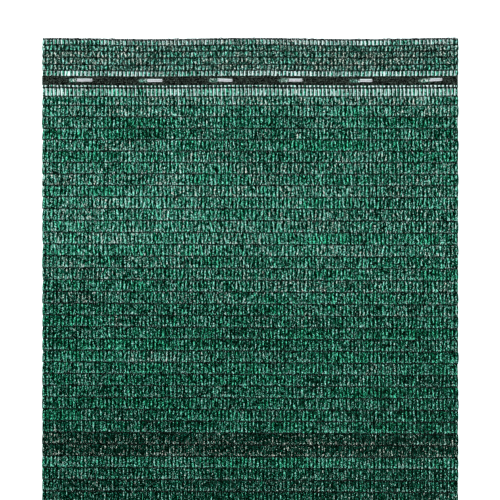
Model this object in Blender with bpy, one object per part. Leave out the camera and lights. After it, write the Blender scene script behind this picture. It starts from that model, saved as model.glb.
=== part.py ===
# Knitted shade cloth: a cut length with a buttonhole band near its top selvedge, lying flat.
# Units are metres. +X runs along the band, +Y points to the top selvedge and +Z is up.
# Depth below means the distance from the top edge down the cloth, along -Y.

import math

import bmesh
import bpy
from mathutils import Matrix

# Driving dimensions of the knitting
BUTTONHOLE_PITCH = 0.050
STITCHES_PER_BUTTONHOLE = 18
STITCHES_ACROSS = 107
CLOTH_HEIGHT = 0.350

# Chains, counted down from the top edge: the zone, its chains and the distance between them
CHAIN_ZONES = (
    {"zone": "selvedge", "chains": 5, "pitch": 0.00447},
    {"zone": "band", "chains": 1, "pitch": 0.01230},
    {"zone": "close rows", "chains": 2, "pitch": 0.00640},
    {"zone": "upper rows", "chains": 8, "pitch": 0.00818},
    {"zone": "middle rows", "chains": 9, "pitch": 0.00850},
    {"zone": "lower rows", "chains": 20, "pitch": 0.00838},
)
FIRST_CHAIN_DEPTH = 0.00040

# The buttonhole band
BAND_TOP = 0.02735
BAND_BOTTOM = 0.03330
BAND_THICKNESS = 0.0018
BAND_HOLLOW_THICKNESS = 0.0013
BAND_EDGE_WIDTH = 0.0016
BAND_RIB_SHOULDERS = (0.3, 0.7)

# Slots of the band: their size, the middle of their row and their tilts in degrees, from left to right
SLOT_LENGTH = 0.0160
SLOT_WIDTH = 0.0025
SLOT_CORNER = 0.0005
SLOT_ROW_DEPTH = 0.03010
SLOT_ROW_CENTRE_X = 0.00430
SLOT_TILTS = (0.0, 0.0, -2.5, 0.0, 0.0, 3.5)

# The net's cross-section
CREST_THICKNESS = 0.0016
TROUGH_THICKNESS = 0.0010
TAPE_THICKNESS = 0.0012
CREST_HALF_WIDTH = 0.0009
# No point of the cross-section lies closer than this to the strip's own edges
EDGE_CLEARANCE = 0.0003
NODE_GAP = 0.0003

# In-plane waves, as the cloth lies
TOP_WAVE_HEIGHT = 0.00045
TOP_WAVE_REACH = 0.060
SLANT = 0.00080
SLANT_START = 0.060
SLANT_END = 0.200

# Steps along the band in the long solids
STEPS_ALONG = 16

# Colours and finish
GREEN = (0.012, 0.105, 0.066, 1.0)
PALE_GREEN = (0.045, 0.150, 0.120, 1.0)
BLACK = (0.006, 0.010, 0.008, 1.0)
TAPE_ROUGHNESS = 0.42
BAND_ROUGHNESS = 0.55

CLOTH_WIDTH = BUTTONHOLE_PITCH / STITCHES_PER_BUTTONHOLE * STITCHES_ACROSS
# The waves move both edges a little, and the origin stays halfway between the outermost points
TOP_EDGE_Y = (CLOTH_HEIGHT + SLANT - TOP_WAVE_HEIGHT) / 2.0


def clear_scene():
    for item in list(bpy.data.objects):
        bpy.data.objects.remove(item, do_unlink=True)


def plain_material(name, colour, roughness):
    material = bpy.data.materials.new(name)
    material.use_nodes = True
    shader = material.node_tree.nodes["Principled BSDF"]
    shader.inputs["Base Color"].default_value = colour
    shader.inputs["Roughness"].default_value = roughness
    shader.inputs["Metallic"].default_value = 0.0
    material.diffuse_color = colour
    return material


# Depths of all chains below the top edge, down to the bottom edge
def chain_depths():
    depths = [FIRST_CHAIN_DEPTH]
    for zone in CHAIN_ZONES:
        for _ in range(zone["chains"]):
            depths.append(depths[-1] + zone["pitch"])
    return [depth for depth in depths if depth < CLOTH_HEIGHT]


# How far a point is shifted towards the bottom edge by the waves in which the cloth lies
def wave_shift(x, depth):
    fade = max(0.0, 1.0 - depth / TOP_WAVE_REACH)
    top_wave = -TOP_WAVE_HEIGHT * fade * math.cos(4.0 * math.pi * x / CLOTH_WIDTH)
    share = min(1.0, max(0.0, (depth - SLANT_START) / (SLANT_END - SLANT_START)))
    return top_wave + SLANT * share * 2.0 * x / CLOTH_WIDTH


# Cross-section of a stretch of net, as points of depth and height, with a crest on each chain
def net_section(top, bottom, depths):
    chains = [depth for depth in depths if top <= depth <= bottom]
    points = [(top, TROUGH_THICKNESS)]
    for index, chain in enumerate(chains):
        points.append((chain - CREST_HALF_WIDTH, TROUGH_THICKNESS))
        points.append((chain, CREST_THICKNESS))
        points.append((chain + CREST_HALF_WIDTH, TROUGH_THICKNESS))
        if index + 1 < len(chains):
            points.append(((chain + chains[index + 1]) / 2.0, TAPE_THICKNESS))
    points.append((bottom, TROUGH_THICKNESS))
    nearest, furthest = top + EDGE_CLEARANCE, bottom - EDGE_CLEARANCE
    inside = [point for point in points[1:-1] if nearest < point[0] < furthest]
    return [points[0]] + inside + [points[-1]]


# Cross-section of the band: a rounded rib along each edge and a lower middle
def band_section(top, bottom):
    rib = [(0.0, TROUGH_THICKNESS)]
    rib += [(BAND_EDGE_WIDTH * share, BAND_THICKNESS) for share in BAND_RIB_SHOULDERS]
    rib.append((BAND_EDGE_WIDTH, BAND_HOLLOW_THICKNESS))
    upper = [(top + inward, height) for inward, height in rib]
    lower = [(bottom - inward, height) for inward, height in reversed(rib)]
    return upper + lower


# A closed strip with a flat underside, its cross-section extruded along X in steps and laid in the waves
def knitted_strip(name, section, steps, material):
    shape = bmesh.new()
    outline = [(section[0][0], 0.0)] + section + [(section[-1][0], 0.0)]
    corners = [shape.verts.new((-CLOTH_WIDTH / 2.0, -depth, height)) for depth, height in outline]
    end_face = shape.faces.new(corners)
    rim = list(end_face.edges)
    for _ in range(steps):
        grown = bmesh.ops.extrude_edge_only(shape, edges=rim)["geom"]
        moved = [item for item in grown if isinstance(item, bmesh.types.BMVert)]
        bmesh.ops.translate(shape, vec=(CLOTH_WIDTH / steps, 0.0, 0.0), verts=moved)
        edges = [item for item in grown if isinstance(item, bmesh.types.BMEdge)]
        rim = [edge for edge in edges if set(edge.verts) <= set(moved)]
    bmesh.ops.contextual_create(shape, geom=rim)
    for point in shape.verts:
        point.co.y = TOP_EDGE_Y + point.co.y - wave_shift(point.co.x, -point.co.y)
    bmesh.ops.recalc_face_normals(shape, faces=shape.faces)
    mesh = bpy.data.meshes.new(name)
    shape.to_mesh(mesh)
    shape.free()
    mesh.materials.append(material)
    strip = bpy.data.objects.new(name, mesh)
    bpy.context.scene.collection.objects.link(strip)
    return strip


# One cutter holds all slots: upright blocks with eased corners, apart from each other
def slot_cutter():
    shape = bmesh.new()
    first_x = SLOT_ROW_CENTRE_X - (len(SLOT_TILTS) - 1) / 2.0 * BUTTONHOLE_PITCH
    for index, tilt in enumerate(SLOT_TILTS):
        place_x = first_x + index * BUTTONHOLE_PITCH
        place_y = TOP_EDGE_Y - SLOT_ROW_DEPTH - wave_shift(place_x, SLOT_ROW_DEPTH)
        size = Matrix.Diagonal((SLOT_LENGTH, SLOT_WIDTH, BAND_THICKNESS * 4.0, 1.0))
        turn = Matrix.Rotation(math.radians(tilt), 4, "Z")
        place = Matrix.Translation((place_x, place_y, 0.0)) @ turn @ size
        block = bmesh.ops.create_cube(shape, size=1.0, matrix=place)["verts"]
        sides = {edge for point in block for edge in point.link_edges}
        upright = [edge for edge in sides if abs(edge.verts[0].co.z - edge.verts[1].co.z) > BAND_THICKNESS]
        bmesh.ops.bevel(shape, geom=upright, offset=SLOT_CORNER, segments=1, affect="EDGES")
    mesh = bpy.data.meshes.new("slot_cutter")
    shape.to_mesh(mesh)
    shape.free()
    cutter = bpy.data.objects.new("slot_cutter", mesh)
    bpy.context.scene.collection.objects.link(cutter)
    cutter.hide_render = True
    cutter.display_type = "WIRE"
    return cutter


def build():
    clear_scene()
    green = plain_material("green_tape", GREEN, TAPE_ROUGHNESS)
    pale_green = plain_material("pale_green_tape", PALE_GREEN, TAPE_ROUGHNESS)
    black = plain_material("black_knit", BLACK, BAND_ROUGHNESS)
    depths = chain_depths()
    half_gap = NODE_GAP / 2.0

    knitted_strip("selvedge_strip", net_section(0.0, BAND_TOP - half_gap, depths), STEPS_ALONG, pale_green)
    knitted_strip("net_panel", net_section(BAND_BOTTOM + half_gap, CLOTH_HEIGHT, depths), STEPS_ALONG, green)

    band = knitted_strip("buttonhole_band", band_section(BAND_TOP + half_gap, BAND_BOTTOM - half_gap),
                         STEPS_ALONG, black)
    cut = band.modifiers.new("slots", "BOOLEAN")
    cut.operation = "DIFFERENCE"
    cut.solver = "EXACT"
    cut.object = slot_cutter()


build()
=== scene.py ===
import math
import bmesh
import bpy
import numpy as np
from mathutils import Matrix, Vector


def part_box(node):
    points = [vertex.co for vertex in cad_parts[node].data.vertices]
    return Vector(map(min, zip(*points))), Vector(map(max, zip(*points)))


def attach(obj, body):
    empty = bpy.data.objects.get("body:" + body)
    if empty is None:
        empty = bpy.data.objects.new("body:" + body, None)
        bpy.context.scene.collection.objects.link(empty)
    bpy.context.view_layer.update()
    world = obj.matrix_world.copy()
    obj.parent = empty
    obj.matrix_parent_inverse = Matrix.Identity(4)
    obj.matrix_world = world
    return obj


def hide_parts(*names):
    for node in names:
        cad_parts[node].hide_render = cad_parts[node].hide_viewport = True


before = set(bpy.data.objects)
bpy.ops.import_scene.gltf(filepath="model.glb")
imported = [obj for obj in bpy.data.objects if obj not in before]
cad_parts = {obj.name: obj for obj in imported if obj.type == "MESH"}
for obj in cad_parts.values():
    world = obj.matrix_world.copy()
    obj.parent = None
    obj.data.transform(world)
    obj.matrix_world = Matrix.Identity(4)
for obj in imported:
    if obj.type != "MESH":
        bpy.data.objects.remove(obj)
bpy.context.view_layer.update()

# Knitted shade cloth, a cut length lying flat: green tapes knitted to and fro between dark chains, and a
# black band with slots near the top edge. Depth means the distance down from the top edge, in metres.

cloth = {
    "stitch": 0.050 / 18.0,        # buttonhole pitch over its stitches
    "stitchAtBottom": 0.976,       # the tapes stand a little closer further down
    "height": 0.350,
    "firstChain": 0.0004,
    "topWave": 0.00045,            # in-plane waves, as in the solids
    "topWaveReach": 0.060,
    "slant": 0.00080,
    "slantStart": 0.060,
    "slantEnd": 0.200,
    "bandTop": 0.02735,
    "bandBottom": 0.03330,
    "nodeGap": 0.0003,
    "chainNudges": (0.0003, 0.0001, -0.0001, -0.0001, 0.0006, 0.0003, 0.0003),   # how unevenly the selvedge chains lie
    "boldChains": (0, 6),          # the top edge and the chain next to the band
    "seed": 747,
}
chainZones = (
    {"zone": "selvedge", "chains": 5, "pitch": 0.00447},
    {"zone": "band", "chains": 1, "pitch": 0.01230},
    {"zone": "close rows", "chains": 2, "pitch": 0.00640},
    {"zone": "upper rows", "chains": 8, "pitch": 0.00818},
    {"zone": "middle rows", "chains": 9, "pitch": 0.00850},
    {"zone": "lower rows", "chains": 20, "pitch": 0.00838},
)
# How the rows of tape look, from each depth on: tone 0 dark to 1 pale, share left open, unrest of the tapes
# lift is a painted highlight on the tapes' lower ends, gleam a painted highlight on their folds
rowLooks = (
    {"from": 0.0000, "tone": 0.65, "open": 0.18, "unrest": 0.20, "lift": 0.10, "tint": 0.60},
    {"from": 0.0045, "tone": 0.49, "open": 0.03, "unrest": 0.80, "lift": 0.00, "tint": 0.68},
    {"from": 0.0090, "tone": 0.47, "open": 0.03, "unrest": 0.90, "lift": 0.00, "tint": 0.78},
    {"from": 0.0180, "tone": 0.55, "open": 0.08, "unrest": 0.35, "lift": 0.05, "tint": 0.66},
    {"from": 0.0225, "tone": 0.62, "open": 0.21, "unrest": 0.15, "lift": 0.05, "tint": 0.50},
    {"from": 0.0330, "tone": 0.52, "open": 0.27, "unrest": 0.10, "lift": 0.00, "tint": 0.50},
    {"from": 0.0350, "tone": 0.68, "open": 0.20, "unrest": 0.15, "lift": 0.05, "tint": 0.52},
    {"from": 0.0410, "tone": 0.56, "open": 0.10, "unrest": 0.35, "lift": 0.10, "tint": 0.60},
    {"from": 0.0475, "tone": 0.49, "open": 0.03, "unrest": 0.50, "lift": 0.18, "tint": 0.60},
    {"from": 0.0560, "tone": 0.38, "open": 0.02, "unrest": 0.65, "lift": 0.22, "tint": 0.42},
    {"from": 0.0730, "tone": 0.43, "open": 0.02, "unrest": 0.70, "lift": 0.22, "tint": 0.46},
    {"from": 0.0890, "tone": 0.47, "open": 0.02, "unrest": 0.75, "lift": 0.22, "tint": 0.54},
    {"from": 0.1050, "tone": 0.53, "open": 0.02, "unrest": 0.80, "lift": 0.22, "tint": 0.52},
    {"from": 0.1220, "tone": 0.48, "open": 0.02, "unrest": 0.80, "lift": 0.22, "tint": 0.53},
    {"from": 0.1390, "tone": 0.52, "open": 0.02, "unrest": 0.80, "lift": 0.22, "tint": 0.50},
    {"from": 0.1560, "tone": 0.38, "open": 0.02, "unrest": 0.80, "lift": 0.24, "tint": 0.50},
    {"from": 0.1900, "tone": 0.34, "open": 0.02, "unrest": 0.55, "lift": 0.31, "tint": 0.45},
    {"from": 0.2070, "tone": 0.29, "open": 0.01, "unrest": 0.45, "lift": 0.31, "tint": 0.36},
    {"from": 0.2230, "tone": 0.36, "open": 0.02, "unrest": 0.45, "lift": 0.31, "tint": 0.40},
    {"from": 0.2400, "tone": 0.26, "open": 0.01, "unrest": 0.40, "lift": 0.34, "tint": 0.38},
    {"from": 0.2815, "tone": -0.04, "open": 0.03, "unrest": 0.30, "lift": 0.30, "tint": 1.00,
     "gleam": 0.00},
    {"from": 0.2985, "tone": 0.37, "open": 0.02, "unrest": 0.30, "lift": 0.31, "tint": 0.42},
    {"from": 0.3070, "tone": 0.16, "open": 0.02, "unrest": 0.30, "lift": 0.31, "tint": 0.50,
     "gleam": 0.15},
    {"from": 0.3155, "tone": 0.06, "open": 0.02, "unrest": 0.30, "lift": 0.31, "tint": 0.55,
     "gleam": 0.15},
)

# Wide paler and darker patches: painted light and shade where the cloth lies unevenly
patches = (
    {"x": -0.086, "depth": 0.130, "wide": 0.075, "tall": 0.028, "tone": 0.09},
    {"x": 0.107, "depth": 0.126, "wide": 0.055, "tall": 0.035, "tone": -0.10},
    {"x": -0.082, "depth": 0.230, "wide": 0.026, "tall": 0.012, "tone": 0.18},
    {"x": -0.118, "depth": 0.187, "wide": 0.035, "tall": 0.014, "tone": -0.09},
    {"x": -0.140, "depth": 0.068, "wide": 0.020, "tall": 0.020, "tone": -0.08},
    {"x": -0.140, "depth": 0.158, "wide": 0.020, "tall": 0.008, "tone": -0.08},
    {"x": -0.143, "depth": 0.040, "wide": 0.015, "tall": 0.008, "tone": 0.10},
    {"x": 0.029, "depth": 0.176, "wide": 0.040, "tall": 0.020, "tone": 0.05},
    {"x": -0.014, "depth": 0.223, "wide": 0.040, "tall": 0.014, "tone": -0.07},
    {"x": 0.114, "depth": 0.226, "wide": 0.020, "tall": 0.012, "tone": -0.06},
    {"x": -0.128, "depth": 0.290, "wide": 0.020, "tall": 0.040, "tone": 0.05},
)

lowCorner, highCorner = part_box("net_panel")
clothWidth = highCorner[0] - lowCorner[0]
topEdgeY = (cloth["height"] + cloth["slant"] - cloth["topWave"]) / 2.0
dice = np.random.default_rng(cloth["seed"])


def chainDepths():
    depths = [cloth["firstChain"]]
    for zone in chainZones:
        for _ in range(zone["chains"]):
            depths.append(depths[-1] + zone["pitch"])
    for index, nudge in enumerate(cloth["chainNudges"]):
        depths[index] += nudge
    return [depth for depth in depths if depth < cloth["height"]]


def laidY(x, depth):
    # where a point lies across the cloth, with the waves in which the cloth lies
    fade = np.clip(1.0 - depth / cloth["topWaveReach"], 0.0, 1.0)
    topWave = -cloth["topWave"] * fade * np.cos(4.0 * math.pi * x / clothWidth)
    span = cloth["slantEnd"] - cloth["slantStart"]
    share = np.clip((depth - cloth["slantStart"]) / span, 0.0, 1.0)
    return topEdgeY - depth - topWave - cloth["slant"] * share * 2.0 * x / clothWidth


def stitchAt(depth):
    # distance between tapes at this depth
    return cloth["stitch"] * (1.0 + (cloth["stitchAtBottom"] - 1.0) * depth / cloth["height"])


def softField(count, wideX, wideDepth, seed):
    # a slow random field over the cloth, about -1 to 1, longer along the rows than across them
    waves = np.random.default_rng(seed)
    turns = waves.uniform(-1.0, 1.0, (count, 2)) / np.array((wideX, wideDepth))
    starts = waves.uniform(0.0, 2.0 * math.pi, count)

    def value(x, depth):
        angle = 2.0 * math.pi * (np.multiply.outer(x, turns[:, 0]) + np.multiply.outer(depth, turns[:, 1])) + starts
        return np.sin(angle).sum(-1) * math.sqrt(2.0 / count)
    return value


paleField = softField(14, 0.070, 0.020, 11)
fineField = softField(18, 0.012, 0.009, 12)
leanField = softField(12, 0.020, 0.012, 13)
gleamField = softField(16, 0.030, 0.010, 14)
tintField = softField(12, 0.035, 0.020, 15)
openField = softField(12, 0.034, 0.030, 16)


# Small pieces that are repeated: a template mesh is made once with bmesh, then copied in one joined mesh
def meshOf(shape, name):
    mesh = bpy.data.meshes.new(name)
    shape.to_mesh(mesh)
    shape.free()
    return mesh


def cornersOf(mesh):
    points = np.empty(len(mesh.vertices) * 3)
    mesh.vertices.foreach_get("co", points)
    return points.reshape(-1, 3)


def tapeTemplate(name, twist, pinch, fold, crown):
    # a short tape from chain to chain: x runs across it and y along it, both from -0.5 to 0.5
    shape = bmesh.new()
    bmesh.ops.create_grid(shape, x_segments=3, y_segments=6, size=0.5)
    for point in shape.verts:
        across, along = point.co.x, point.co.y
        narrowing = 1.0 - pinch * abs(2.0 * along) ** 2.5
        turn = twist * along
        height = fold * (abs(across) * 2.0 - 0.5) + 0.35 * fold * math.sin(9.0 * along + 4.0 * across)
        point.co.x = across * narrowing * math.cos(turn)
        point.co.z = across * narrowing * math.sin(turn) + height * 0.5 + crown * (1.0 - (2.0 * along) ** 2)
    return meshOf(shape, name)


def stitchTemplate(name, sides, thread, spread):
    # one loop of a chain: x runs along the chain in stitches, y across it, z up, all about the chain's middle
    route = (
        (-0.10, 0.00, -0.22), (0.10, -0.13, 0.02), (0.40, -0.19, 0.20), (0.85, -0.15, 0.22), (1.10, 0.00, 0.12),
        (0.85, 0.15, 0.22), (0.40, 0.19, 0.20), (0.10, 0.13, 0.02),
    )
    shape = bmesh.new()
    ring = bmesh.ops.create_circle(shape, segments=sides, radius=thread, cap_ends=False)["verts"]
    middles = [np.array(place) * (1.0, spread, 1.0) for place in route]
    steps = len(middles)
    rings = []
    for index, middle in enumerate(middles):
        ahead = middles[(index + 1) % steps] - middles[index - 1]
        ahead = ahead / np.linalg.norm(ahead)
        sideways = np.cross(ahead, (0.0, 0.0, 1.0))
        sideways = sideways / np.linalg.norm(sideways)
        upwards = np.cross(sideways, ahead)
        corners = []
        for corner in range(sides):
            angle = 2.0 * math.pi * (corner + 0.5) / sides
            offset = sideways * math.cos(angle) + upwards * math.sin(angle)
            corners.append(shape.verts.new(middle + thread * offset))
        edges = [shape.edges.new((corners[corner - 1], corners[corner])) for corner in range(sides)]
        rings.append(edges)
    bmesh.ops.delete(shape, geom=ring, context="VERTS")
    for index in range(steps):
        bmesh.ops.bridge_loops(shape, edges=rings[index] + rings[(index + 1) % steps])
    bmesh.ops.recalc_face_normals(shape, faces=shape.faces)
    for face in shape.faces:
        face.smooth = True
    return meshOf(shape, name)


def joinCopies(name, templates, picks, frames, marks, layout, material):
    # frames: one 3 x 4 matrix a copy. marks: named values a copy. layout: columns and rows of the bake layout
    allPoints, allLoops, allStarts, allMarks, allRuns, allCells = [], [], [], {key: [] for key in marks}, [], []
    pointCount = loopCount = 0
    for pick, template in enumerate(templates):
        chosen = np.nonzero(picks == pick)[0]
        if not len(chosen):
            continue
        corners = cornersOf(template)
        points = np.einsum("nij,kj->nki", frames[chosen][:, :, :3], corners) + frames[chosen][:, None, :, 3]
        loops = np.empty(len(template.loops), dtype=np.int32)
        template.loops.foreach_get("vertex_index", loops)
        starts = np.empty(len(template.polygons), dtype=np.int32)
        template.polygons.foreach_get("loop_start", starts)
        copies = np.arange(len(chosen))
        allPoints.append(points.reshape(-1, 3))
        allLoops.append((loops[None] + copies[:, None] * len(corners) + pointCount).ravel())
        allStarts.append((starts[None] + copies[:, None] * len(loops) + loopCount).ravel())
        for key, values in marks.items():
            allMarks[key].append(np.repeat(values[chosen], len(corners)))
        low, high = corners.min(0), corners.max(0)
        unit = (corners[:, :2] - low[:2]) / (high[:2] - low[:2])
        allRuns.append(np.tile(unit[loops], (len(chosen), 1)))
        cell = np.stack((chosen % layout[0], chosen // layout[0]), 1)
        inside = unit[loops][None] * 0.86 + 0.07
        allCells.append(((cell[:, None] + inside) / np.array(layout)).reshape(-1, 2))
        pointCount += len(points.reshape(-1, 3))
        loopCount += len(loops) * len(chosen)
    points = np.concatenate(allPoints)
    points[:, 2] = np.maximum(points[:, 2], 0.00002)   # flat where it touches the surface
    loops, starts = np.concatenate(allLoops), np.concatenate(allStarts)
    mesh = bpy.data.meshes.new(name)
    mesh.vertices.add(len(points))
    mesh.vertices.foreach_set("co", points.ravel())
    mesh.loops.add(len(loops))
    mesh.loops.foreach_set("vertex_index", loops)
    mesh.polygons.add(len(starts))
    mesh.polygons.foreach_set("loop_start", starts)
    mesh.update(calc_edges=True)
    mesh.polygons.foreach_set("use_smooth", np.ones(len(starts), dtype=bool))
    for key in marks:
        layer = mesh.attributes.new(key, "FLOAT", "POINT")
        layer.data.foreach_set("value", np.concatenate(allMarks[key]))
    for layerName, places in (("tapeRun", allRuns), ("OFBake", allCells)):
        layer = mesh.uv_layers.new(name=layerName)
        layer.data.foreach_set("uv", np.concatenate(places).ravel())
    mesh.materials.append(material)
    piece = bpy.data.objects.new(name, mesh)
    bpy.context.scene.collection.objects.link(piece)
    print("made", name, len(starts), "faces")
    return piece


# Materials
def newGroup(name, inputs, outputs):
    group = bpy.data.node_groups.new(name, "ShaderNodeTree")
    for label, kind, value in inputs:
        socket = group.interface.new_socket(label, in_out="INPUT", socket_type=kind)
        if value is not None:
            socket.default_value = value
    for label, kind in outputs:
        group.interface.new_socket(label, in_out="OUTPUT", socket_type=kind)
    return group, group.nodes.new("NodeGroupInput"), group.nodes.new("NodeGroupOutput")


def addNode(tree, kind, **values):
    node = tree.nodes.new(kind)
    for key, value in values.items():
        setattr(node, key, value)
    return node


def mathNode(tree, operation, *values):
    node = addNode(tree, "ShaderNodeMath", operation=operation)
    for index, value in enumerate(values):
        if isinstance(value, (int, float)):
            node.inputs[index].default_value = value
        else:
            tree.links.new(value, node.inputs[index])
    return node.outputs[0]


def stretchedNoise(tree, place, scales, detail, low, high):
    # noise with its own period along each axis, 0 under the low level and 1 over the high one
    stretch = addNode(tree, "ShaderNodeMapping")
    stretch.inputs["Scale"].default_value = scales
    tree.links.new(place, stretch.inputs["Vector"])
    noise = addNode(tree, "ShaderNodeTexNoise")
    noise.inputs["Scale"].default_value = 1.0
    noise.inputs["Detail"].default_value = detail
    tree.links.new(stretch.outputs[0], noise.inputs["Vector"])
    spread = addNode(tree, "ShaderNodeMapRange", interpolation_type="SMOOTHSTEP")
    spread.inputs["From Min"].default_value = low
    spread.inputs["From Max"].default_value = high
    tree.links.new(noise.outputs["Fac"], spread.inputs["Value"])
    return spread.outputs[0]


def streaksAndPaintedLight():
    # lengthwise streaks and small creases of a drawn plastic tape, from its run and its place, with painted highlights
    # on its creases, folds and lower end and painted shade along its rims and at its ends
    group, source, result = newGroup(
        "streaksAndPaintedLight",
        (("Run", "NodeSocketVector", None), ("Place", "NodeSocketVector", None), ("Tone", "NodeSocketFloat", 0.5),
         ("Lift", "NodeSocketFloat", 0.0), ("Rim Shade", "NodeSocketFloat", 0.6), ("End Shade", "NodeSocketFloat", 0.6),
         ("Streak", "NodeSocketFloat", 0.3), ("Speck", "NodeSocketFloat", 0.3),
         ("Fold Place", "NodeSocketFloat", 0.3), ("Fold Light", "NodeSocketFloat", 0.0),
         ("Gleam", "NodeSocketFloat", 0.0)),
        (("Tone", "NodeSocketFloat"), ("Height", "NodeSocketFloat"), ("Rough", "NodeSocketFloat")),
    )
    parts = addNode(group, "ShaderNodeSeparateXYZ")
    group.links.new(source.outputs["Run"], parts.inputs[0])
    place = source.outputs["Place"]
    # speck raises small creases in the bump and paints sparse highlights on them; the noise after it paints sparse
    # shade in the creases
    streak = stretchedNoise(group, place, (1900.0, 320.0, 600.0), 0.0, 0.34, 0.66)
    speck = stretchedNoise(group, place, (1900.0, 1500.0, 500.0), 0.0, 0.53, 0.63)
    speckShade = stretchedNoise(group, place, (1700.0, 900.0, 500.0), 0.0, 0.55, 0.65)
    wobble = stretchedNoise(group, place, (260.0, 620.0, 260.0), 1.0, 0.15, 0.85)

    def awayFrom(value, place, low, high):
        # 0 nearer to the place than low, 1 further from it than high
        distance = mathNode(group, "ABSOLUTE", mathNode(group, "SUBTRACT", value, place))
        rim = addNode(group, "ShaderNodeMapRange", interpolation_type="SMOOTHSTEP")
        rim.inputs["From Min"].default_value = low
        rim.inputs["From Max"].default_value = high
        group.links.new(distance, rim.inputs["Value"])
        return rim.outputs[0]

    sideRim = awayFrom(parts.outputs["X"], 0.5, 0.28, 0.47)
    endRim = awayFrom(parts.outputs["Y"], 0.5, 0.43, 0.48)
    # two folds run along the tape, wandering a little, and a painted highlight follows them
    swayed = mathNode(group, "MULTIPLY_ADD", mathNode(group, "SUBTRACT", wobble, 0.5), 0.26, parts.outputs["X"])
    firstFold = awayFrom(swayed, source.outputs["Fold Place"], 0.03, 0.22)
    secondFold = awayFrom(swayed, mathNode(group, "ADD", source.outputs["Fold Place"], 0.40), 0.02, 0.11)
    secondFold = mathNode(group, "MULTIPLY_ADD", secondFold, 0.3, 0.7)
    folds = mathNode(group, "SUBTRACT", 1.0, mathNode(group, "MULTIPLY", firstFold, secondFold))
    streakTone = mathNode(group, "MULTIPLY", mathNode(group, "SUBTRACT", streak, 0.5), source.outputs["Streak"])
    bothSpecks = mathNode(group, "MULTIPLY_ADD", speckShade, -0.7, speck)
    speckTone = mathNode(group, "MULTIPLY", bothSpecks, source.outputs["Speck"])
    # the lowest third of a tape is crumpled and catches more light
    lowest = addNode(group, "ShaderNodeMapRange", interpolation_type="SMOOTHSTEP")
    lowest.inputs["From Min"].default_value = 0.40
    lowest.inputs["From Max"].default_value = 0.15
    group.links.new(parts.outputs["Y"], lowest.inputs["Value"])
    crumple = mathNode(group, "MULTIPLY_ADD", speck, 1.1, 0.1)
    crumple = mathNode(group, "MULTIPLY_ADD", lowest.outputs[0], crumple, -0.25)
    liftTone = mathNode(group, "MULTIPLY", crumple, source.outputs["Lift"])
    tone = mathNode(group, "ADD", mathNode(group, "ADD", source.outputs["Tone"], streakTone),
                    mathNode(group, "ADD", speckTone, liftTone))
    brightness = mathNode(group, "MULTIPLY", source.outputs["Fold Light"],
                          mathNode(group, "MULTIPLY_ADD", speck, 0.6, 0.4))
    brightness = mathNode(group, "ADD", brightness, source.outputs["Gleam"])
    tone = mathNode(group, "MULTIPLY_ADD", mathNode(group, "SUBTRACT", folds, 0.30), brightness, tone)
    # painted shade along the tape's sides, between neighbouring tapes, and at its ends under the chains
    for rim, label in ((sideRim, "Rim Shade"), (endRim, "End Shade")):
        darkening = mathNode(group, "MULTIPLY", rim, source.outputs[label])
        tone = mathNode(group, "MULTIPLY", tone, mathNode(group, "SUBTRACT", 1.0, darkening))
    height = mathNode(group, "ADD", streak, mathNode(group, "MULTIPLY", speck, 0.6))
    group.links.new(tone, result.inputs["Tone"])
    group.links.new(height, result.inputs["Height"])
    group.links.new(mathNode(group, "MULTIPLY_ADD", speck, 0.25, 0.20), result.inputs["Rough"])
    return group


def toneRamp(tree, stops):
    ramp = addNode(tree, "ShaderNodeValToRGB")
    points = ramp.color_ramp.elements
    while len(points) < len(stops):
        points.new(0.5)
    for point, (place, colour) in zip(points, stops):
        point.position = place
        point.color = (*colour, 1.0)
    return ramp


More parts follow.
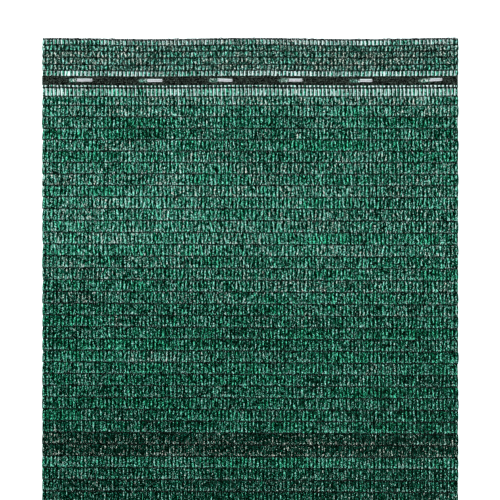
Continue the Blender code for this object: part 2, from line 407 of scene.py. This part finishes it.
def tapeMaterial(name, streaksAndLight, look):
    material = bpy.data.materials.new(name)
    material.use_nodes = True
    tree = material.node_tree
    link = tree.links.new
    shader = tree.nodes["Principled BSDF"]
    shader.inputs["IOR"].default_value = 1.5
    shader.inputs["Specular IOR Level"].default_value = look["gloss"]
    shader.inputs["Specular Tint"].default_value = (*look["glossTint"], 1.0)
    run = addNode(tree, "ShaderNodeUVMap", uv_map="tapeRun")
    place = addNode(tree, "ShaderNodeTexCoord")
    tone = addNode(tree, "ShaderNodeAttribute", attribute_name="tone")
    lift = addNode(tree, "ShaderNodeAttribute", attribute_name="lift")
    group = addNode(tree, "ShaderNodeGroup", node_tree=streaksAndLight)
    group.inputs["Rim Shade"].default_value = look["rimShade"]
    group.inputs["End Shade"].default_value = look["endShade"]
    group.inputs["Fold Light"].default_value = look["foldLight"]
    group.inputs["Streak"].default_value = look["streak"]
    group.inputs["Speck"].default_value = look["speck"]
    link(run.outputs["UV"], group.inputs["Run"])
    link(place.outputs["Object"], group.inputs["Place"])
    link(tone.outputs["Fac"], group.inputs["Tone"])
    link(lift.outputs["Fac"], group.inputs["Lift"])
    fold = addNode(tree, "ShaderNodeAttribute", attribute_name="fold")
    link(fold.outputs["Fac"], group.inputs["Fold Place"])
    gleam = addNode(tree, "ShaderNodeAttribute", attribute_name="gleam")
    link(gleam.outputs["Fac"], group.inputs["Gleam"])
    ramp = toneRamp(tree, look["stops"])
    link(group.outputs["Tone"], ramp.inputs["Fac"])
    tint = addNode(tree, "ShaderNodeAttribute", attribute_name="tint")
    hue = toneRamp(tree, look["hues"])
    # some spots of a tape are greener and others greyer, next to each other
    blush = stretchedNoise(tree, place.outputs["Object"], (900.0, 500.0, 400.0), 0.0, 0.35, 0.65)
    blush = mathNode(tree, "MULTIPLY", mathNode(tree, "SUBTRACT", blush, 0.5), look["blush"])
    link(mathNode(tree, "ADD", tint.outputs["Fac"], blush), hue.inputs["Fac"])
    dyed = addNode(tree, "ShaderNodeMix", data_type="RGBA", blend_type="MULTIPLY")
    dyed.inputs[0].default_value = 1.0
    link(ramp.outputs["Color"], dyed.inputs[6])
    link(hue.outputs["Color"], dyed.inputs[7])
    link(dyed.outputs[2], shader.inputs["Base Color"])
    link(group.outputs["Rough"], shader.inputs["Roughness"])
    bump = addNode(tree, "ShaderNodeBump")
    bump.inputs["Strength"].default_value = look["bump"]
    bump.inputs["Distance"].default_value = 0.0002
    link(group.outputs["Height"], bump.inputs["Height"])
    link(bump.outputs["Normal"], shader.inputs["Normal"])
    return material


greenTape = {
    "gloss": 0.10, "glossTint": (0.25, 1.0, 0.70), "rimShade": 1.00, "endShade": 0.50, "streak": 0.68, "speck": 0.74,
    "foldLight": 0.50, "bump": 0.5, "blush": 0.48,
    "stops": (
        (0.00, (0.0002, 0.0032, 0.0014)),
        (0.20, (0.0008, 0.0190, 0.0090)),
        (0.42, (0.0025, 0.0860, 0.0490)),
        (0.58, (0.0070, 0.1520, 0.0960)),
        (0.74, (0.0480, 0.2480, 0.1820)),
        (0.88, (0.2200, 0.4150, 0.3460)),
        (1.00, (0.7600, 0.7800, 0.7300)),
    ),
    "hues": ((0.0, (0.12, 1.00, 0.66)), (0.35, (0.32, 1.00, 0.82)), (0.55, (0.46, 1.00, 0.97)),
             (1.0, (1.00, 0.98, 0.96))),
}
# in the selvedge the tapes are greyer
selvedgeTape = {**greenTape, "stops": (
    (0.00, (0.0006, 0.0036, 0.0022)),
    (0.20, (0.0040, 0.0220, 0.0140)),
    (0.42, (0.0200, 0.0780, 0.0540)),
    (0.58, (0.0420, 0.1380, 0.1000)),
    (0.74, (0.0900, 0.2400, 0.1850)),
    (0.88, (0.2600, 0.4150, 0.3600)),
    (1.00, (0.7400, 0.7800, 0.7400)),
)}
# the tapes in the slots lie flatter, with no painted shade at their ends, less along their sides and no painted fold
# highlight
slotTape = {**selvedgeTape, "rimShade": 0.30, "endShade": 0.00, "streak": 0.40, "speck": 0.50, "foldLight": 0.0}
darkThread = {
    "gloss": 0.10, "glossTint": (1.0, 1.0, 1.0), "rimShade": 0.0, "endShade": 0.0, "streak": 0.3, "speck": 0.5, "foldLight": 0.0, "bump": 0.3,
    "blush": 0.0,
    "stops": (
        (0.00, (0.0005, 0.0018, 0.0013)),
        (0.60, (0.0025, 0.0075, 0.0055)),
        (1.00, (0.0900, 0.1200, 0.1100)),
    ),
    "hues": ((0.0, (1.0, 1.0, 1.0)), (1.0, (1.0, 1.0, 1.0))),
}
blackKnit = {
    "gloss": 0.10, "glossTint": (1.0, 1.0, 1.0), "rimShade": 0.0, "endShade": 0.0, "streak": 0.3, "speck": 0.9, "foldLight": 0.0, "bump": 0.4,
    "blush": 0.0,
    "stops": (
        (0.00, (0.0008, 0.0022, 0.0014)),
        (0.50, (0.0038, 0.0080, 0.0054)),
        (0.80, (0.0280, 0.0430, 0.0340)),
        (1.00, (0.1300, 0.1800, 0.1500)),
    ),
    "hues": ((0.0, (1.0, 1.0, 1.0)), (1.0, (1.0, 1.0, 1.0))),
}


# Tapes: one short tape for each stitch of a row, leaning to and fro between two chains
tapeShapes = (
    {"twist": 0.0, "pinch": 0.34, "fold": 0.10, "crown": 0.10},
    {"twist": 0.3, "pinch": 0.30, "fold": 0.16, "crown": 0.08},
    {"twist": -0.3, "pinch": 0.36, "fold": 0.12, "crown": 0.12},
    {"twist": 0.5, "pinch": 0.26, "fold": -0.10, "crown": 0.06},
    {"twist": -0.5, "pinch": 0.40, "fold": -0.14, "crown": 0.14},
    {"twist": 0.2, "pinch": 0.44, "fold": 0.22, "crown": 0.10},
)


def lookAt(depth):
    found = rowLooks[0]
    for look in rowLooks:
        if depth >= look["from"]:
            found = look
    return found


def tapeRow(top, bottom, layer):
    # frames, tones and template picks of one row of tapes
    middle = (top + bottom) / 2.0
    look = lookAt(middle)
    stitch = stitchAt(middle)
    count = int(clothWidth / stitch)
    number = np.arange(count)
    span = bottom - top
    x = ((number + 0.5) / count - 0.5) * (clothWidth + 0.0004)
    side = np.where(number % 2 == 0, 1.0, -1.0)
    unrest = look["unrest"]
    openness = look["open"] * (1.0 + layer["openSpread"] * openField(x, np.full(count, middle)))
    lean = layer["lean"] * stitch * side * min(1.0, 0.25 + unrest) * (1.0 + unrest * dice.normal(0.0, 0.3, count))
    lean += unrest * stitch * (0.08 * leanField(x, np.full(count, middle)) + dice.normal(0.0, 0.08, count))
    shift = layer["shift"] * stitch * np.maximum(0.0, 1.0 - 3.0 * openness)
    shift += unrest * stitch * dice.normal(0.0, 0.04, count)
    limit = clothWidth / 2.0 - 0.0009
    overlap = layer["overlap"]
    startOverlap = overlap if top > 0.001 else 0.0
    topX = np.clip(x + shift + lean, -limit, limit)
    lowX = np.clip(x + shift - lean, -limit, limit)
    topY = laidY(topX, np.full(count, top - startOverlap))
    lowY = laidY(lowX, np.full(count, bottom + overlap))
    along = np.stack((topX - lowX, topY - lowY, np.zeros(count)), 1)
    length = np.linalg.norm(along, axis=1)
    across = np.stack((along[:, 1], -along[:, 0], np.zeros(count)), 1) / length[:, None]
    roll = layer["roll"] * (dice.normal(0.0, 0.4, count) + 0.15 * side)
    width = stitch * layer["width"] * (1.0 - openness * layer["openness"])
    width = width * np.clip(1.0 + layer["widthSpread"] * dice.normal(0.0, 1.0, count), 0.45, 1.45)
    rolled = across * np.cos(roll)[:, None] + np.array((0.0, 0.0, 1.0)) * np.sin(roll)[:, None]
    raised = np.cross(rolled, along / length[:, None])
    frames = np.zeros((count, 3, 4))
    frames[:, :, 0] = rolled * width[:, None]
    frames[:, :, 1] = along
    frames[:, :, 2] = raised * (0.0022 * np.sign(raised[:, 2]))[:, None]
    frames[:, 0, 3] = (topX + lowX) / 2.0
    frames[:, 1, 3] = (topY + lowY) / 2.0
    frames[:, 2, 3] = layer["height"]
    pale = paleField(x, np.full(count, middle)) * 0.03 + fineField(x, np.full(count, middle)) * 0.02
    for patch in patches:
        reach = ((x - patch["x"]) / patch["wide"]) ** 2 + ((middle - patch["depth"]) / patch["tall"]) ** 2
        pale = pale + patch["tone"] * np.exp(-1.5 * reach)
    tone = look["tone"] * layer["toneScale"] + layer["toneAdd"] + pale + dice.normal(0.0, layer["toneSpread"], count)
    # here and there the folds of neighbouring tapes gleam
    gleam = np.clip(gleamField(x, np.full(count, middle)) - 0.6, 0.0, 0.8) * layer["gleam"]
    gleam = (gleam + look.get("gleam", 0.0)) * dice.uniform(0.6, 1.0, count)
    picks = dice.integers(0, len(tapeShapes), count)
    keep = dice.uniform(0.0, 1.0, count) > (openness - 0.03) * layer["drops"]
    tint = look["tint"] + 0.09 * tintField(x, np.full(count, middle)) + dice.normal(0.0, 0.08, count)
    marks = {"tone": np.clip(tone, -0.3, 1.0), "lift": np.full(count, look["lift"]),
             "tint": np.clip(tint, 0.0, 1.0), "fold": dice.uniform(0.38, 0.50, count), "gleam": gleam}
    return frames[keep], picks[keep], {key: values[keep] for key, values in marks.items()}


tapeLayers = {
    "front": {"lean": 0.15, "shift": 0.0, "overlap": 0.0005, "roll": 0.12, "width": 0.82, "openness": 1.65,
              "widthSpread": 0.05, "height": 0.00105, "toneScale": 0.95, "toneAdd": -0.07, "toneSpread": 0.02,
              "gleam": 0.5, "drops": 0.0, "openSpread": 0.14},
    # the back layer is the same tape painted much darker: painted shade beneath the front tapes
    "back": {"lean": -0.15, "shift": 0.5, "overlap": 0.0005, "roll": 0.15, "width": 0.88, "openness": 0.85,
             "widthSpread": 0.15, "height": 0.00070, "toneScale": 0.20, "toneAdd": -0.10, "toneSpread": 0.05,
             "gleam": 0.0, "drops": 0.1, "openSpread": 0.14},
}


def tapePiece(name, rows, layer, templates, material):
    made = [tapeRow(top, bottom, layer) for top, bottom in rows]
    frames = np.concatenate([entry[0] for entry in made])
    picks = np.concatenate([entry[1] for entry in made])
    marks = {key: np.concatenate([entry[2][key] for entry in made]) for key in made[0][2]}
    columns = int(math.ceil(math.sqrt(len(frames) * 1.7)))
    layout = (columns, int(math.ceil(len(frames) / columns)))
    return joinCopies(name, templates, picks, frames, marks, layout, material)


def chainPiece(name, depths, look, templates, material):
    # rows of chain stitches along the cloth
    frames, tones, picks = [], [], []
    passes = [(depth, False, 0.0) for depth in depths if depth not in boldDepths]
    passes += [(depth, True, start) for depth in depths if depth in boldDepths for start in (0.0, 0.5)]
    for depth, bold, start in passes:
        stitch = stitchAt(depth)
        count = int(clothWidth / stitch)
        x = (np.arange(count) + start) * clothWidth / count - clothWidth / 2.0
        x = x + dice.normal(0.0, 0.04, count) * stitch
        x = np.clip(x, -clothWidth / 2.0 + 0.0005, clothWidth / 2.0 - stitch * 1.15)
        frame3 = np.zeros((count, 3, 4))
        turn = dice.normal(0.0, 0.06, count)
        scale = stitch * (0.92 + dice.normal(0.0, 0.05, count))
        wide = stitch * look["wide"] * (1.0 + dice.normal(0.0, 0.12, count))
        frame3[:, 0, 0] = scale * np.cos(turn)
        frame3[:, 1, 0] = scale * np.sin(turn)
        frame3[:, 0, 1] = -wide * np.sin(turn)
        frame3[:, 1, 1] = wide * np.cos(turn)
        frame3[:, 2, 2] = stitch * look["tall"]
        frame3[:, 0, 3] = x
        frame3[:, 1, 3] = laidY(x, np.full(count, depth)) + dice.normal(0.0, 0.00008, count)
        frame3[:, 2, 3] = look["height"] + look["dip"] * np.clip(dice.normal(0.0, 1.0, count), -1.5, 1.0)
        frames.append(frame3)
        picks.append(np.full(count, 1 if bold else 0))
        tones.append(np.clip(look["tone"] + dice.normal(0.0, 0.15, count), 0.0, 1.0))
    frames, tones, picks = np.concatenate(frames), np.concatenate(tones), np.concatenate(picks)
    columns = int(math.ceil(math.sqrt(len(frames))))
    layout = (columns, int(math.ceil(len(frames) / columns)))
    return joinCopies(name, templates, picks, frames, {"tone": tones, "lift": tones * 0.0}, layout, material)


# The black band: a fine ground with slots, chains of small stitches over it, and green tapes crossing the slots
band = {
    "slotLength": 0.0160, "slotWidth": 0.0025, "slotDepth": 0.03010, "slotCentreX": 0.00430,
    "slotPitch": 0.050, "slotTilts": (0.0, 0.0, -2.5, 0.0, 0.0, 3.5),
    "reach": 0.0004,                # how far it reaches over the tapes above it
    "outlineStep": 0.0050, "groundHeight": 0.00095, "groundThickness": 0.0004,
    "rows": (                       # depth below the band's top, tone, and if it stands out as a rib
        (0.00002, 0.04, False), (0.00060, 0.04, False), (0.00118, 0.52, True), (0.00200, 0.00, False),
        (0.00272, 0.56, True), (0.00344, 0.00, False), (0.00422, 0.54, True), (0.00510, 0.04, False),
        (0.00584, 0.02, False),
    ),
    "ribHeight": 0.00018, "ribWidth": 0.75,
    "threads": ((-0.00072, 0.00022), (0.0, 0.00034), (0.00070, 0.00022)),   # place across a slot, radius
    "stitchesPerTape": 1.5, "slotClearance": 0.00012,
    "rimCover": 0.00030,            # how far the ground reaches over the lower edge of a slot
    "tapeShown": (0.0051, 0.0055, 0.0060, 0.0065, 0.0073, 0.0073),   # how far the tape fills each slot
    "tapeWidth": 0.0032, "tapeHeight": 0.00100, "tapeTucked": 0.0008,
}


def slotFrames():
    # middle and tilt of each slot
    first = band["slotCentreX"] - (len(band["slotTilts"]) - 1) / 2.0 * band["slotPitch"]
    frames = []
    for index, tilt in enumerate(band["slotTilts"]):
        x = first + index * band["slotPitch"]
        frames.append((x, float(laidY(x, band["slotDepth"])), math.radians(tilt)))
    return frames


def bandGround(name, material):
    # the outline and the slots' rims are filled as one face with holes, then given its thickness
    shape = bmesh.new()
    steps = int(clothWidth / band["outlineStep"])
    along = [clothWidth * (step / steps - 0.5) for step in range(steps + 1)]
    top, bottom = cloth["bandTop"] - band["reach"], cloth["bandBottom"] + 0.0002
    outline = [(x, float(laidY(x, top))) for x in along] + [(x, float(laidY(x, bottom))) for x in reversed(along)]
    halfLength, halfWidth = band["slotLength"] / 2.0, band["slotWidth"] / 2.0
    lowerEdge = -halfWidth + band["rimCover"]
    rims = [outline]
    for x, y, tilt in slotFrames():
        corners = ((-halfLength, lowerEdge), (halfLength, lowerEdge), (halfLength, halfWidth), (-halfLength, halfWidth))
        rims.append([(x + u * math.cos(tilt) - v * math.sin(tilt), y + u * math.sin(tilt) + v * math.cos(tilt))
                     for u, v in corners])
    edges = []
    for rim in rims:
        points = [shape.verts.new((x, y, band["groundHeight"])) for x, y in rim]
        edges += [shape.edges.new((points[index - 1], points[index])) for index in range(len(points))]
    bmesh.ops.triangle_fill(shape, use_beauty=True, edges=edges, normal=(0.0, 0.0, 1.0))
    bmesh.ops.recalc_face_normals(shape, faces=shape.faces)
    if sum(face.normal.z for face in shape.faces) < 0.0:
        bmesh.ops.reverse_faces(shape, faces=shape.faces)
    mesh = meshOf(shape, name)
    mesh.materials.append(material)
    ground = bpy.data.objects.new(name, mesh)
    bpy.context.scene.collection.objects.link(ground)
    thick = ground.modifiers.new("thickness", "SOLIDIFY")
    thick.thickness = band["groundThickness"]
    thick.offset = -1.0
    for key, value in (("tone", 0.20), ("lift", 0.0)):
        layer = mesh.attributes.new(key, "FLOAT", "POINT")
        layer.data.foreach_set("value", np.full(len(mesh.vertices), value))
    run = mesh.uv_layers.new(name="tapeRun")
    run.data.foreach_set("uv", np.full(len(mesh.loops) * 2, 0.5))
    return ground


def insideSlot(x, y):
    found = np.zeros(len(x), dtype=bool)
    for middleX, middleY, tilt in slotFrames():
        u = (x - middleX) * math.cos(tilt) + (y - middleY) * math.sin(tilt)
        v = (y - middleY) * math.cos(tilt) - (x - middleX) * math.sin(tilt)
        clear = band["slotClearance"]
        found |= (np.abs(u) < band["slotLength"] / 2.0 + clear) & (np.abs(v) < band["slotWidth"] / 2.0 + clear)
    return found


def bandStitches(name, templates, material):
    # rows of small stitches, left out where a slot opens
    frames, tones = [], []
    stitch = cloth["stitch"] / band["stitchesPerTape"]
    count = int(clothWidth / stitch)
    for row, (below, tone, isRib) in enumerate(band["rows"]):
        depth = cloth["bandTop"] + below
        x = (np.arange(count) + 0.5 * (row % 2)) * clothWidth / count - clothWidth / 2.0 + 0.0003
        x = np.minimum(x + dice.normal(0.0, 0.0001, count), clothWidth / 2.0 - stitch * 1.2)
        y = laidY(x, np.full(count, depth)) + dice.normal(0.0, 0.00005, count)
        keep = ~(insideSlot(x, y) | insideSlot(x + stitch, y) | insideSlot(x + stitch * 0.5, y))
        matrix = np.zeros((count, 3, 4))
        matrix[:, 0, 0] = stitch * (1.0 + dice.normal(0.0, 0.06, count))
        matrix[:, 1, 1] = stitch * (band["ribWidth"] if isRib else 1.15) * (1.0 + dice.normal(0.0, 0.10, count))
        matrix[:, 1, 0] = stitch * dice.normal(0.0, 0.06, count)
        matrix[:, 2, 2] = stitch * 1.3
        matrix[:, 0, 3], matrix[:, 1, 3] = x, y
        matrix[:, 2, 3] = band["groundHeight"] + 0.00022 + (band["ribHeight"] if isRib else 0.0)
        frames.append(matrix[keep])
        tones.append(np.clip(tone + dice.normal(0.0, 0.26, count), 0.0, 1.0)[keep])
    frames, tones = np.concatenate(frames), np.concatenate(tones)
    columns = int(math.ceil(math.sqrt(len(frames))))
    layout = (columns, int(math.ceil(len(frames) / columns)))
    return joinCopies(name, templates, np.full(len(frames), 2), frames, {"tone": tones, "lift": tones * 0.0},
                      layout, material)


def slotTapes(name, templates, material):
    # the tape that shows at the left end of each slot, just below the band
    count = len(band["slotTilts"])
    frames = np.zeros((count, 3, 4))
    for index, (x, y, tilt) in enumerate(slotFrames()):
        shown = band["tapeShown"][index]
        middle = x + (shown - band["slotLength"] - band["tapeTucked"]) / 2.0
        frames[index, 0, 1] = -(shown + band["tapeTucked"])
        frames[index, 1, 0] = band["tapeWidth"]
        frames[index, 2, 2] = 0.0006
        frames[index, :, 3] = (middle, y, band["tapeHeight"])
    tones = dice.uniform(0.58, 0.66, count)
    marks = {"tone": tones, "lift": tones * 0.0 + 0.40, "tint": tones * 0.0 + 0.90, "fold": tones * 0.0 + 0.3}
    return joinCopies(name, templates, np.arange(count) % len(templates), frames, marks, (count, 1), material)


def slotThreads(name, material):
    # pale clear threads laid lengthwise through each slot
    shape = bmesh.new()
    for x, y, tilt in slotFrames():
        for side, radius in band["threads"]:
            length = band["slotLength"] + 0.0010
            place = Matrix.Translation((x, y, 0.0007)) @ Matrix.Rotation(tilt, 4, "Z")
            turn = Matrix.Translation((0.0, side, 0.0)) @ Matrix.Rotation(math.pi / 2.0, 4, "Y")
            bmesh.ops.create_cone(shape, cap_ends=True, segments=8, radius1=radius, radius2=radius, depth=length,
                                  matrix=place @ turn)
    for face in shape.faces:
        face.smooth = len(face.verts) == 4
    mesh = meshOf(shape, name)
    mesh.materials.append(material)
    threads = bpy.data.objects.new(name, mesh)
    bpy.context.scene.collection.objects.link(threads)
    return threads


def paleThreadMaterial(name, streaksAndLight):
    # clear thread that looks milky against the pale surface
    material = tapeMaterial(name, streaksAndLight, darkThread)
    shader = material.node_tree.nodes["Principled BSDF"]
    noise = addNode(material.node_tree, "ShaderNodeTexNoise")
    noise.inputs["Scale"].default_value = 900.0
    place = addNode(material.node_tree, "ShaderNodeTexCoord")
    material.node_tree.links.new(place.outputs["Object"], noise.inputs["Vector"])
    milky = toneRamp(material.node_tree, ((0.3, (0.39, 0.36, 0.41)), (0.7, (0.62, 0.57, 0.63))))
    material.node_tree.links.new(noise.outputs["Fac"], milky.inputs["Fac"])
    material.node_tree.links.new(milky.outputs["Color"], shader.inputs["Base Color"])
    return material


streaksAndLight = streaksAndPaintedLight()
tapeLook = tapeMaterial("greenTape", streaksAndLight, greenTape)
selvedgeLook = tapeMaterial("selvedgeTape", streaksAndLight, selvedgeTape)
slotTapeLook = tapeMaterial("slotTape", streaksAndLight, slotTape)
threadLook = tapeMaterial("darkThread", streaksAndLight, darkThread)
bandLook = tapeMaterial("blackKnit", streaksAndLight, blackKnit)
tapeTemplates = [tapeTemplate(f"tape{index}", **shape) for index, shape in enumerate(tapeShapes)]
stitchTemplates = [stitchTemplate("stitch", 4, 0.090, 0.7), stitchTemplate("boldStitch", 4, 0.125, 1.0),
                   stitchTemplate("bandStitch", 4, 0.085, 1.0)]
print("templates and materials made")

depths = chainDepths()
boldDepths = [depths[index] for index in cloth["boldChains"]]
selvedgeChains = [depth for depth in depths if depth < cloth["bandTop"]]
panelChains = [depth for depth in depths if depth > cloth["bandBottom"]]
selvedgeRows = list(zip(selvedgeChains, selvedgeChains[1:] + [cloth["bandTop"] - 0.0007]))
panelRows = list(zip([cloth["bandBottom"] + 0.0003] + panelChains[:-1], panelChains))

upperChain = {"wide": 0.82, "tall": 0.9, "height": 0.00105, "dip": 0.00015, "tone": 0.05}
# the lower chains are painted a little paler, a painted highlight on their threads
lowerChain = {"wide": 0.80, "tall": 0.9, "height": 0.00105, "dip": 0.00020, "tone": 0.15}
half = len(panelChains) // 2

panelFront = tapePiece("panelFrontTapes", panelRows, tapeLayers["front"], tapeTemplates, tapeLook)
panelBack = tapePiece("panelBackTapes", panelRows, tapeLayers["back"], tapeTemplates, tapeLook)
panelUpper = chainPiece("panelUpperChains", panelChains[:half], upperChain, stitchTemplates, threadLook)
panelLower = chainPiece("panelLowerChains", panelChains[half:], lowerChain, stitchTemplates, threadLook)
selvedgeFront = tapePiece("selvedgeFrontTapes", selvedgeRows, tapeLayers["front"], tapeTemplates, selvedgeLook)
selvedgeBack = tapePiece("selvedgeBackTapes", selvedgeRows, tapeLayers["back"], tapeTemplates, selvedgeLook)
selvedgeKnit = chainPiece("selvedgeChains", selvedgeChains, upperChain, stitchTemplates, threadLook)

ground = bandGround("bandGround", bandLook)
bandKnit = bandStitches("bandStitches", stitchTemplates, bandLook)
bandTape = slotTapes("slotTapes", tapeTemplates[:3], slotTapeLook)
bandThreads = slotThreads("slotThreads", paleThreadMaterial("paleThread", streaksAndLight))

for piece in (ground, bandKnit, bandTape, bandThreads):
    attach(piece, "root")
    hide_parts("buttonhole_band")
for piece in (panelFront, panelBack, panelUpper, panelLower):
    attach(piece, "root")
    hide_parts("net_panel")
for piece in (selvedgeFront, selvedgeBack, selvedgeKnit):
    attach(piece, "root")
    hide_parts("selvedge_strip")


# Floor, light and camera
studio = {
    "floorSize": 3.0, "floorGlow": 0.90, "floorGlowColour": (0.78, 1.00, 0.98), "floorColour": (0.80, 0.80, 0.80),
    "keyPower": 31.0, "keySize": 0.7, "keyPlace": (-0.95, 0.85, 0.95),
    "fillPower": 18.0, "fillSize": 0.7, "fillPlace": (1.15, -0.35, 0.85),
    "worldStrength": 0.10,
    "frameWidth": 0.35763, "lens": 100.0, "sensor": 36.0,
    "photoMiddleDepth": 0.15124,
}


def makeFloor():
    shape = bmesh.new()
    bmesh.ops.create_grid(shape, x_segments=1, y_segments=1, size=studio["floorSize"] / 2.0)
    floor = bpy.data.objects.new("floor", meshOf(shape, "floor"))
    bpy.context.scene.collection.objects.link(floor)
    material = bpy.data.materials.new("paleTable")
    material.use_nodes = True
    shader = material.node_tree.nodes["Principled BSDF"]
    shader.inputs["Base Color"].default_value = (*studio["floorColour"], 1.0)
    shader.inputs["Roughness"].default_value = 0.6
    shader.inputs["Emission Color"].default_value = (*studio["floorGlowColour"], 1.0)
    shader.inputs["Emission Strength"].default_value = studio["floorGlow"]
    floor.data.materials.append(material)


def softLight(name, power, size, place, target):
    lamp = bpy.data.lights.new(name, "AREA")
    lamp.energy = power
    lamp.shape = "SQUARE"
    lamp.size = size
    light = bpy.data.objects.new(name, lamp)
    bpy.context.scene.collection.objects.link(light)
    light.location = place
    aim = bpy.data.objects.new(name + "Aim", None)
    bpy.context.scene.collection.objects.link(aim)
    aim.location = target
    hold = light.constraints.new("TRACK_TO")
    hold.target = aim
    hold.track_axis = "TRACK_NEGATIVE_Z"
    hold.up_axis = "UP_Y"


def makeCamera():
    lens = bpy.data.cameras.new("camera")
    lens.lens = studio["lens"]
    lens.sensor_width = studio["sensor"]
    lens.clip_start = 0.01
    camera = bpy.data.objects.new("camera", lens)
    bpy.context.scene.collection.objects.link(camera)
    distance = studio["frameWidth"] * studio["lens"] / studio["sensor"]
    camera.location = (0.0, topEdgeY - studio["photoMiddleDepth"], distance)
    bpy.context.scene.camera = camera


makeFloor()
softLight("keyLight", studio["keyPower"], studio["keySize"], studio["keyPlace"], (0.0, 0.0, 0.0))
softLight("fillLight", studio["fillPower"], studio["fillSize"], studio["fillPlace"], (0.0, 0.0, 0.0))
world = bpy.data.worlds.new("studio")
world.use_nodes = True
world.node_tree.nodes["Background"].inputs["Color"].default_value = (1.0, 1.0, 1.0, 1.0)
world.node_tree.nodes["Background"].inputs["Strength"].default_value = studio["worldStrength"]
bpy.context.scene.world = world
bpy.context.scene.view_settings.view_transform = "Standard"
makeCamera()
print("floor, light and camera made")
